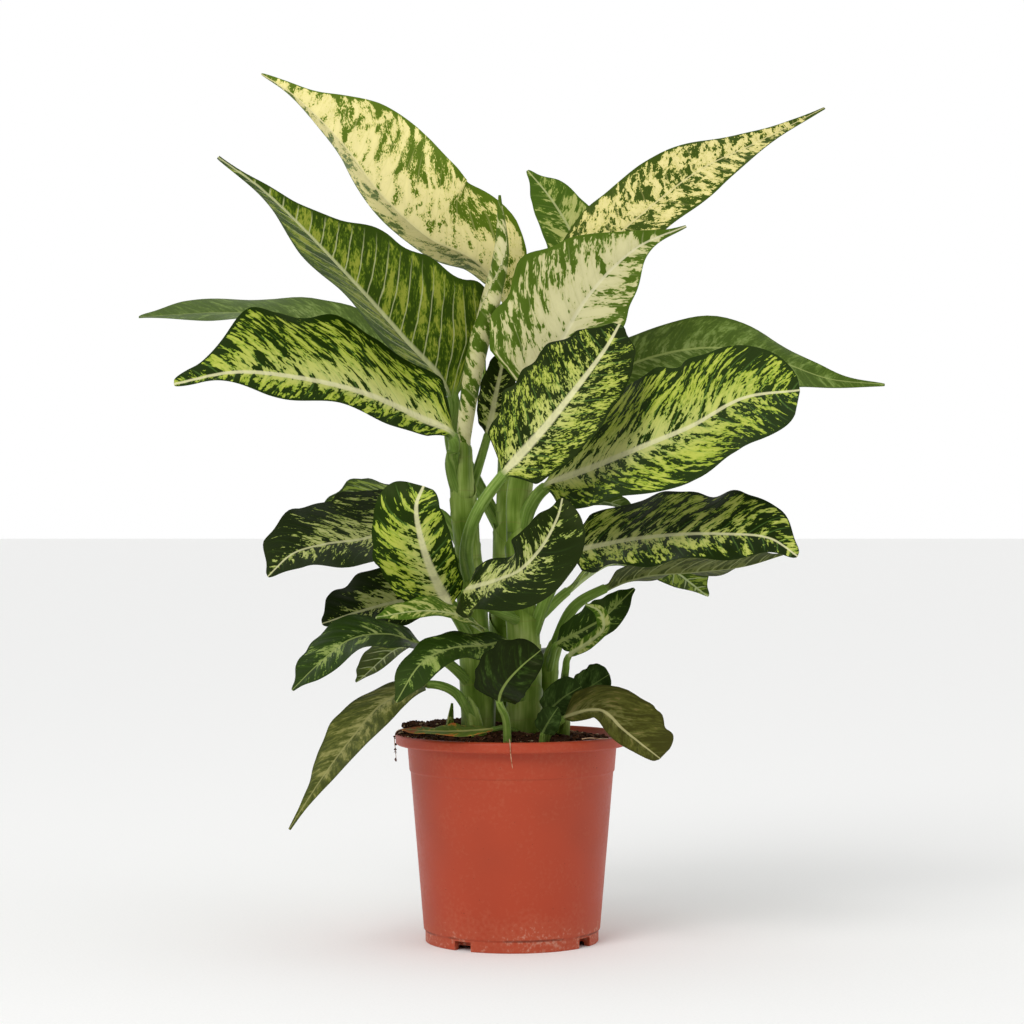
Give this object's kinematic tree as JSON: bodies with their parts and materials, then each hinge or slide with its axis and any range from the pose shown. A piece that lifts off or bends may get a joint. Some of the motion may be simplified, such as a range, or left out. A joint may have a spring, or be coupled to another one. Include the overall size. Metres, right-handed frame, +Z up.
{
  "type": "potted dieffenbachia",
  "caption": "Bushy dieffenbachia house plant with broad mottled leaves on green canes, standing in a round tapered nursery pot of potting soil.",
  "frame": {"origin": "centre of the pot's foot ring, on the surface it stands on", "axes": "+Z up; -Y towards the front, which the picture shows; +X to the right as seen from the front"},
  "size_m": [0.5762, 0.3078, 0.6508],
  "materials": {
    "pot_plastic": "moulded, satin",
    "potting_soil": "crumbly, dull",
    "green_stem": "smooth, waxy",
    "leaf_cream": "satin, waxy",
    "leaf_mottled": "satin, waxy",
    "leaf_dark": "satin, waxy",
    "leaf_underside": "dull",
    "leaf_pale": "satin",
    "leaf_wilted": "dry, dull"
  },
  "bodies": {
    "root": {"pot": "pot_plastic", "soil": "potting_soil", "cane_left": "green_stem", "cane_center": "green_stem", "cane_right": "green_stem", "cane_back": "green_stem", "cane_low_left": "green_stem", "cane_low_right": "green_stem", "leaf_rolled": "leaf_cream", "shoot_left": "leaf_pale", "leaf_top_left": "leaf_cream", "leaf_upper_left": "leaf_underside", "leaf_far_left": "leaf_dark", "leaf_left_middle": "leaf_mottled", "leaf_cream_center": "leaf_cream", "leaf_top_right": "leaf_cream", "leaf_back_top": "leaf_pale", "leaf_dark_center": "leaf_dark", "leaf_right_big": "leaf_mottled", "leaf_right_back": "leaf_dark", "leaf_right_middle": "leaf_mottled", "leaf_right_under": "leaf_underside", "leaf_left_dark": "leaf_dark", "leaf_left_facing": "leaf_mottled", "leaf_left_lower_middle": "leaf_dark", "leaf_left_hanging": "leaf_dark", "leaf_left_lower": "leaf_dark", "leaf_center_front": "leaf_dark", "leaf_left_low": "leaf_dark", "leaf_left_pale": "leaf_pale", "leaf_front_heart": "leaf_dark", "leaf_right_small": "leaf_dark", "leaf_right_curled": "leaf_pale", "leaf_round_right": "leaf_dark", "leaf_round_front": "leaf_dark", "leaf_soil_dark": "leaf_dark", "leaf_right_bottom": "leaf_underside", "leaf_back_small_right": "leaf_pale", "leaf_wilted": "leaf_wilted", "leaf_inner_dark": "leaf_dark", "leaf_back_high": "leaf_mottled", "leaf_back_left": "leaf_dark", "leaf_back_right": "leaf_dark", "leaf_back_low": "leaf_dark", "leaf_back_low_left": "leaf_dark"}
  },
  "joints": []
}
